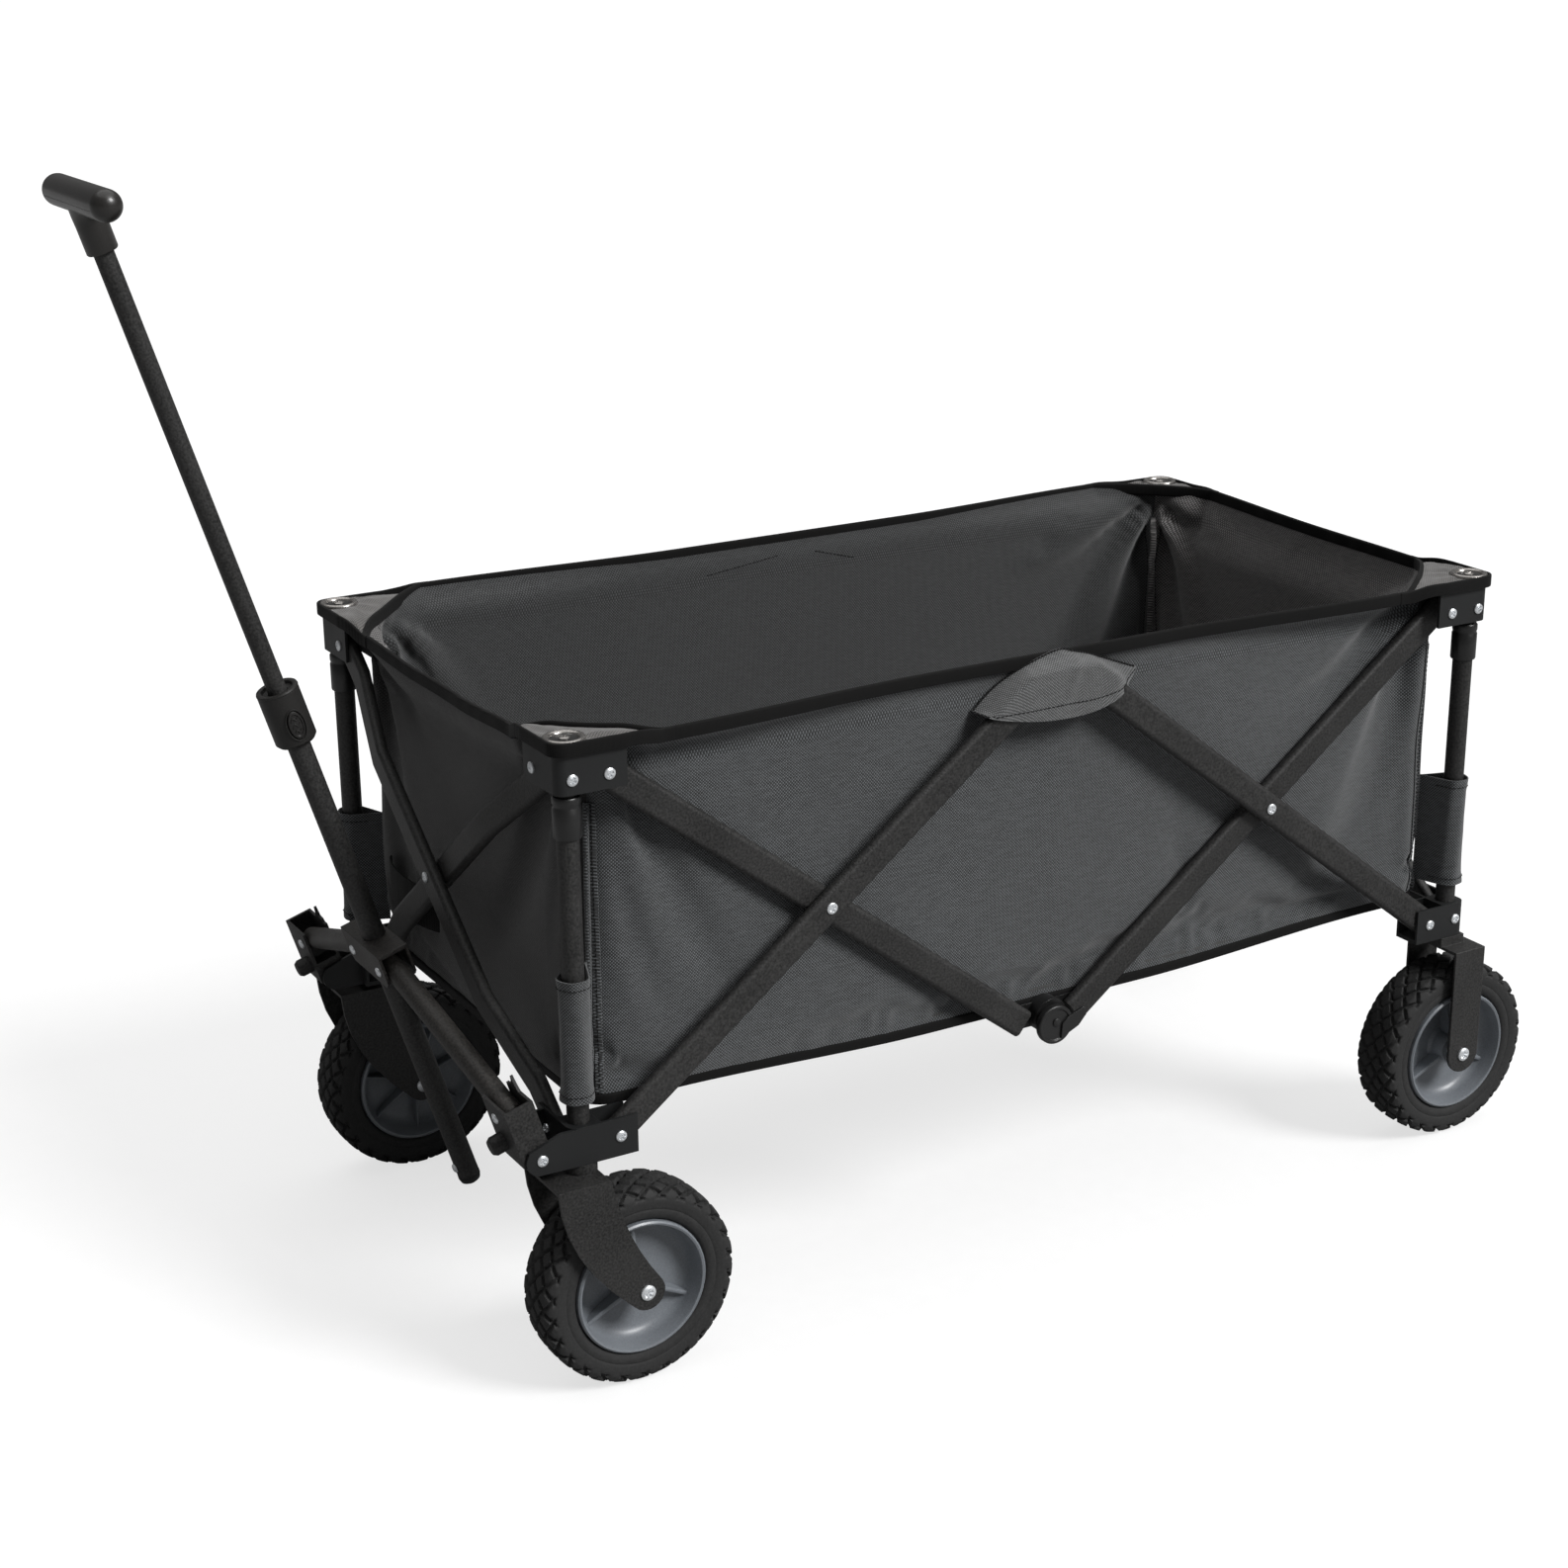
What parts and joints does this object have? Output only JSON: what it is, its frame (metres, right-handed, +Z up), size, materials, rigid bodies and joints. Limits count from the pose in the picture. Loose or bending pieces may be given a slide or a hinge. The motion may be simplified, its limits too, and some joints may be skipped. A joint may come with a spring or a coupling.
{
  "type": "folding wagon",
  "caption": "Folding camp wagon: fabric tub hung in a scissor frame with telescoping posts, swivelling front casters, fixed rear wheels and a telescoping T-handle.",
  "frame": {"origin": "centre of the bounding box at floor level, which lies a little ahead of the tub's middle", "axes": "+X from the handle end to the rear, along the wagon; +Y to the wagon's right when it is pulled; +Z up"},
  "size_m": [1.2622, 0.522, 0.948],
  "materials": {
    "frame": "powder coated, fine hammered texture",
    "plastic": "moulded, lightly grained",
    "tyre": "block tread, smooth sidewall",
    "rim": "moulded grey plastic",
    "zinc": "bright zinc plate",
    "fabric": "heavy woven polyester, two-tone yarn",
    "mat": "woven cover over a padded base",
    "grip": "polished black plastic"
  },
  "bodies": {
    "rear_left_corner": {"low_bracket_rl": "plastic", "post_outer_rl": "frame", "fork_rl": "frame", "axle_rl": "zinc", "tub": "fabric", "base_mat": "mat"},
    "rear_right_corner": {"low_bracket_rr": "plastic", "post_outer_rr": "frame", "fork_rr": "frame", "axle_rr": "zinc"},
    "front_left_corner": {"low_bracket_fl": "plastic", "post_outer_fl": "frame"},
    "front_right_corner": {"low_bracket_fr": "plastic", "post_outer_fr": "frame"},
    "handle_base": {"link_hub": "frame", "handle_outer": "frame", "handle_clamp": "plastic"},
    "handle_slider": {"handle_inner": "frame", "grip": "grip"},
    "clamp_button": {"clamp_button": "plastic"},
    "upper_fl": {"top_bracket_fl": "plastic", "post_inner_fl": "frame"},
    "bar_low_fl": {"bar_low_fl": "frame"},
    "bar_high_fl": {"bar_high_fl": "frame"},
    "wheel_fl": {"tyre_fl": "tyre", "rim_fl": "rim"},
    "upper_fr": {"top_bracket_fr": "plastic", "post_inner_fr": "frame"},
    "bar_low_fr": {"bar_low_fr": "frame"},
    "bar_high_fr": {"bar_high_fr": "frame"},
    "wheel_fr": {"tyre_fr": "tyre", "rim_fr": "rim"},
    "upper_rl": {"top_bracket_rl": "plastic", "post_inner_rl": "frame"},
    "bar_low_rl": {"bar_low_rl": "frame"},
    "bar_high_rl": {"bar_high_rl": "frame"},
    "wheel_rl": {"tyre_rl": "tyre", "rim_rl": "rim"},
    "upper_rr": {"top_bracket_rr": "plastic", "post_inner_rr": "frame"},
    "bar_low_rr": {"bar_low_rr": "frame"},
    "bar_high_rr": {"bar_high_rr": "frame"},
    "wheel_rr": {"tyre_rr": "tyre", "rim_rr": "rim"},
    "caster_fl": {"fork_fl": "frame", "axle_fl": "zinc"},
    "caster_fr": {"fork_fr": "frame", "axle_fr": "zinc"},
    "hub_low_l": {"hub_low_l": "plastic"},
    "hub_high_l": {"hub_high_l": "plastic"},
    "rocker_l": {"rocker_l": "frame"},
    "link_l": {"link_l": "frame"},
    "hub_low_r": {"hub_low_r": "plastic"},
    "hub_high_r": {"hub_high_r": "plastic"},
    "rocker_r": {"rocker_r": "frame"},
    "link_r": {"link_r": "frame"},
    "end_bar_front_outer": {"end_bar_front_outer": "frame"},
    "end_bar_front_inner": {"end_bar_front_inner": "frame"},
    "end_bar_rear_outer": {"end_bar_rear_outer": "frame"},
    "end_bar_rear_inner": {"end_bar_rear_inner": "frame"}
  },
  "joints": [
    {"name": "fold", "type": "hinge", "parent": "rear_left_corner", "child": "bar_low_rl", "pos_m": [0.50937, -0.225, 0.218], "axis": [0, 1, 0], "range_deg": [0, 37.5], "deforming": ["tub", "base_mat"]},
    {"name": "bar_high_rl_turn", "type": "hinge", "parent": "bar_low_rl", "child": "bar_high_rl", "pos_m": [0.31437, -0.225, 0.3675], "axis": [0, 1, 0], "range_deg": [-75, 0]},
    {"name": "upper_rl_turn", "type": "hinge", "parent": "bar_high_rl", "child": "upper_rl", "pos_m": [0.50937, -0.225, 0.517], "axis": [0, 1, 0], "range_deg": [0, 37.5]},
    {"name": "hub_high_l_turn", "type": "hinge", "parent": "bar_low_rl", "child": "hub_high_l", "pos_m": [0.11937, -0.225, 0.517], "axis": [0, 1, 0], "range_deg": [-37.5, 0]},
    {"name": "hub_low_l_turn", "type": "hinge", "parent": "bar_high_rl", "child": "hub_low_l", "pos_m": [0.11937, -0.225, 0.218], "axis": [0, 1, 0], "range_deg": [0, 37.5]},
    {"name": "bar_low_fl_turn", "type": "hinge", "parent": "hub_high_l", "child": "bar_low_fl", "pos_m": [0.05937, -0.225, 0.517], "axis": [0, 1, 0], "range_deg": [-37.5, 0]},
    {"name": "bar_high_fl_turn", "type": "hinge", "parent": "bar_low_fl", "child": "bar_high_fl", "pos_m": [-0.13563, -0.225, 0.3675], "axis": [0, 1, 0], "range_deg": [0, 75]},
    {"name": "corner_fl_turn", "type": "hinge", "parent": "bar_low_fl", "child": "front_left_corner", "pos_m": [-0.33063, -0.225, 0.218], "axis": [0, 1, 0], "range_deg": [0, 37.5]},
    {"name": "upper_fl_turn", "type": "hinge", "parent": "bar_high_fl", "child": "upper_fl", "pos_m": [-0.33063, -0.225, 0.517], "axis": [0, 1, 0], "range_deg": [-37.5, 0]},
    {"name": "end_bar_rear_outer_turn", "type": "hinge", "parent": "rear_left_corner", "child": "end_bar_rear_outer", "pos_m": [0.53937, -0.195, 0.218], "axis": [1, 0, 0], "range_deg": [0, 37.5]},
    {"name": "end_bar_rear_inner_turn", "type": "hinge", "parent": "end_bar_rear_outer", "child": "end_bar_rear_inner", "pos_m": [0.53937, 0, 0.3675], "axis": [1, 0, 0], "range_deg": [-75, 0]},
    {"name": "corner_rr_turn", "type": "hinge", "parent": "end_bar_rear_inner", "child": "rear_right_corner", "pos_m": [0.53937, 0.195, 0.218], "axis": [1, 0, 0], "range_deg": [0, 37.5]},
    {"name": "bar_low_rr_turn", "type": "hinge", "parent": "rear_right_corner", "child": "bar_low_rr", "pos_m": [0.50937, 0.225, 0.218], "axis": [0, 1, 0], "range_deg": [0, 37.5]},
    {"name": "bar_high_rr_turn", "type": "hinge", "parent": "bar_low_rr", "child": "bar_high_rr", "pos_m": [0.31437, 0.225, 0.3675], "axis": [0, 1, 0], "range_deg": [-75, 0]},
    {"name": "upper_rr_turn", "type": "hinge", "parent": "bar_high_rr", "child": "upper_rr", "pos_m": [0.50937, 0.225, 0.517], "axis": [0, 1, 0], "range_deg": [0, 37.5]},
    {"name": "hub_high_r_turn", "type": "hinge", "parent": "bar_low_rr", "child": "hub_high_r", "pos_m": [0.11937, 0.225, 0.517], "axis": [0, 1, 0], "range_deg": [-37.5, 0]},
    {"name": "hub_low_r_turn", "type": "hinge", "parent": "bar_high_rr", "child": "hub_low_r", "pos_m": [0.11937, 0.225, 0.218], "axis": [0, 1, 0], "range_deg": [0, 37.5]},
    {"name": "bar_low_fr_turn", "type": "hinge", "parent": "hub_high_r", "child": "bar_low_fr", "pos_m": [0.05937, 0.225, 0.517], "axis": [0, 1, 0], "range_deg": [-37.5, 0]},
    {"name": "bar_high_fr_turn", "type": "hinge", "parent": "bar_low_fr", "child": "bar_high_fr", "pos_m": [-0.13563, 0.225, 0.3675], "axis": [0, 1, 0], "range_deg": [0, 75]},
    {"name": "corner_fr_turn", "type": "hinge", "parent": "bar_low_fr", "child": "front_right_corner", "pos_m": [-0.33063, 0.225, 0.218], "axis": [0, 1, 0], "range_deg": [0, 37.5]},
    {"name": "upper_fr_turn", "type": "hinge", "parent": "bar_high_fr", "child": "upper_fr", "pos_m": [-0.33063, 0.225, 0.517], "axis": [0, 1, 0], "range_deg": [-37.5, 0]},
    {"name": "end_bar_front_outer_turn", "type": "hinge", "parent": "front_left_corner", "child": "end_bar_front_outer", "pos_m": [-0.36063, -0.195, 0.218], "axis": [1, 0, 0], "range_deg": [0, 37.5]},
    {"name": "end_bar_front_inner_turn", "type": "hinge", "parent": "end_bar_front_outer", "child": "end_bar_front_inner", "pos_m": [-0.36063, 0, 0.3675], "axis": [1, 0, 0], "range_deg": [-75, 0]},
    {"name": "handle_pitch", "type": "hinge", "parent": "front_left_corner", "child": "rocker_l", "pos_m": [-0.39863, -0.208, 0.214], "axis": [0, 1, 0], "range_deg": [-58, 16.5]},
    {"name": "rocker_r_pitch", "type": "hinge", "parent": "front_right_corner", "child": "rocker_r", "pos_m": [-0.39863, 0.208, 0.214], "axis": [0, 1, 0], "range_deg": [-58, 16.5]},
    {"name": "link_l_turn", "type": "hinge", "parent": "rocker_l", "child": "link_l", "pos_m": [-0.41089, -0.208, 0.24727], "axis": [0.9563, 0, 0.2924], "range_deg": [0, 56.77]},
    {"name": "handle_base_turn", "type": "hinge", "parent": "link_l", "child": "handle_base", "pos_m": [-0.42975, -0.028, 0.30895], "axis": [0.9563, 0, 0.2924], "range_deg": [-56.77, 0]},
    {"name": "link_r_turn", "type": "hinge", "parent": "handle_base", "child": "link_r", "pos_m": [-0.42975, 0.028, 0.30895], "axis": [0.9563, 0, 0.2924], "range_deg": [-56.77, 0]},
    {"name": "handle_extend", "type": "slide", "parent": "handle_base", "child": "handle_slider", "axis": [-0.2924, 0, 0.9563], "range_m": [-0.33, 0]},
    {"name": "button_press", "type": "slide", "parent": "handle_base", "child": "clamp_button", "axis": [0, 1, 0], "range_m": [0, 0.0016], "stiffness_N_per_m": 400, "springref_m": -0.002},
    {"name": "caster_fl_swivel", "type": "hinge", "parent": "front_left_corner", "child": "caster_fl", "pos_m": [-0.36063, -0.225, 0.195], "axis": [0, 0, 1], "continuous": true},
    {"name": "caster_fr_swivel", "type": "hinge", "parent": "front_right_corner", "child": "caster_fr", "pos_m": [-0.36063, 0.225, 0.195], "axis": [0, 0, 1], "continuous": true},
    {"name": "wheel_fl_spin", "type": "hinge", "parent": "caster_fl", "child": "wheel_fl", "pos_m": [-0.32063, -0.225, 0.086], "axis": [0, 1, 0], "continuous": true},
    {"name": "wheel_fr_spin", "type": "hinge", "parent": "caster_fr", "child": "wheel_fr", "pos_m": [-0.32063, 0.225, 0.086], "axis": [0, 1, 0], "continuous": true},
    {"name": "wheel_rl_spin", "type": "hinge", "parent": "rear_left_corner", "child": "wheel_rl", "pos_m": [0.54537, -0.225, 0.086], "axis": [0, 1, 0], "continuous": true},
    {"name": "wheel_rr_spin", "type": "hinge", "parent": "rear_right_corner", "child": "wheel_rr", "pos_m": [0.54537, 0.225, 0.086], "axis": [0, 1, 0], "continuous": true}
  ],
  "couplings": [
    {"joint": "bar_high_rl_turn", "follows": "fold", "ratio": -2},
    {"joint": "upper_rl_turn", "follows": "fold", "ratio": 1},
    {"joint": "hub_high_l_turn", "follows": "fold", "ratio": -1},
    {"joint": "hub_low_l_turn", "follows": "fold", "ratio": 1},
    {"joint": "bar_low_fl_turn", "follows": "fold", "ratio": -1},
    {"joint": "bar_high_fl_turn", "follows": "fold", "ratio": 2},
    {"joint": "corner_fl_turn", "follows": "fold", "ratio": 1},
    {"joint": "upper_fl_turn", "follows": "fold", "ratio": -1},
    {"joint": "end_bar_rear_outer_turn", "follows": "fold", "ratio": 1},
    {"joint": "end_bar_rear_inner_turn", "follows": "fold", "ratio": -2},
    {"joint": "corner_rr_turn", "follows": "fold", "ratio": 1},
    {"joint": "bar_low_rr_turn", "follows": "fold", "ratio": 1},
    {"joint": "bar_high_rr_turn", "follows": "fold", "ratio": -2},
    {"joint": "upper_rr_turn", "follows": "fold", "ratio": 1},
    {"joint": "hub_high_r_turn", "follows": "fold", "ratio": -1},
    {"joint": "hub_low_r_turn", "follows": "fold", "ratio": 1},
    {"joint": "bar_low_fr_turn", "follows": "fold", "ratio": -1},
    {"joint": "bar_high_fr_turn", "follows": "fold", "ratio": 2},
    {"joint": "corner_fr_turn", "follows": "fold", "ratio": 1},
    {"joint": "upper_fr_turn", "follows": "fold", "ratio": -1},
    {"joint": "end_bar_front_outer_turn", "follows": "fold", "ratio": 1},
    {"joint": "end_bar_front_inner_turn", "follows": "fold", "ratio": -2},
    {"joint": "rocker_r_pitch", "follows": "handle_pitch", "ratio": 1},
    {"joint": "link_l_turn", "follows": "fold", "ratio": 1.5139},
    {"joint": "handle_base_turn", "follows": "fold", "ratio": -1.5139},
    {"joint": "link_r_turn", "follows": "fold", "ratio": -1.5139}
  ]
}
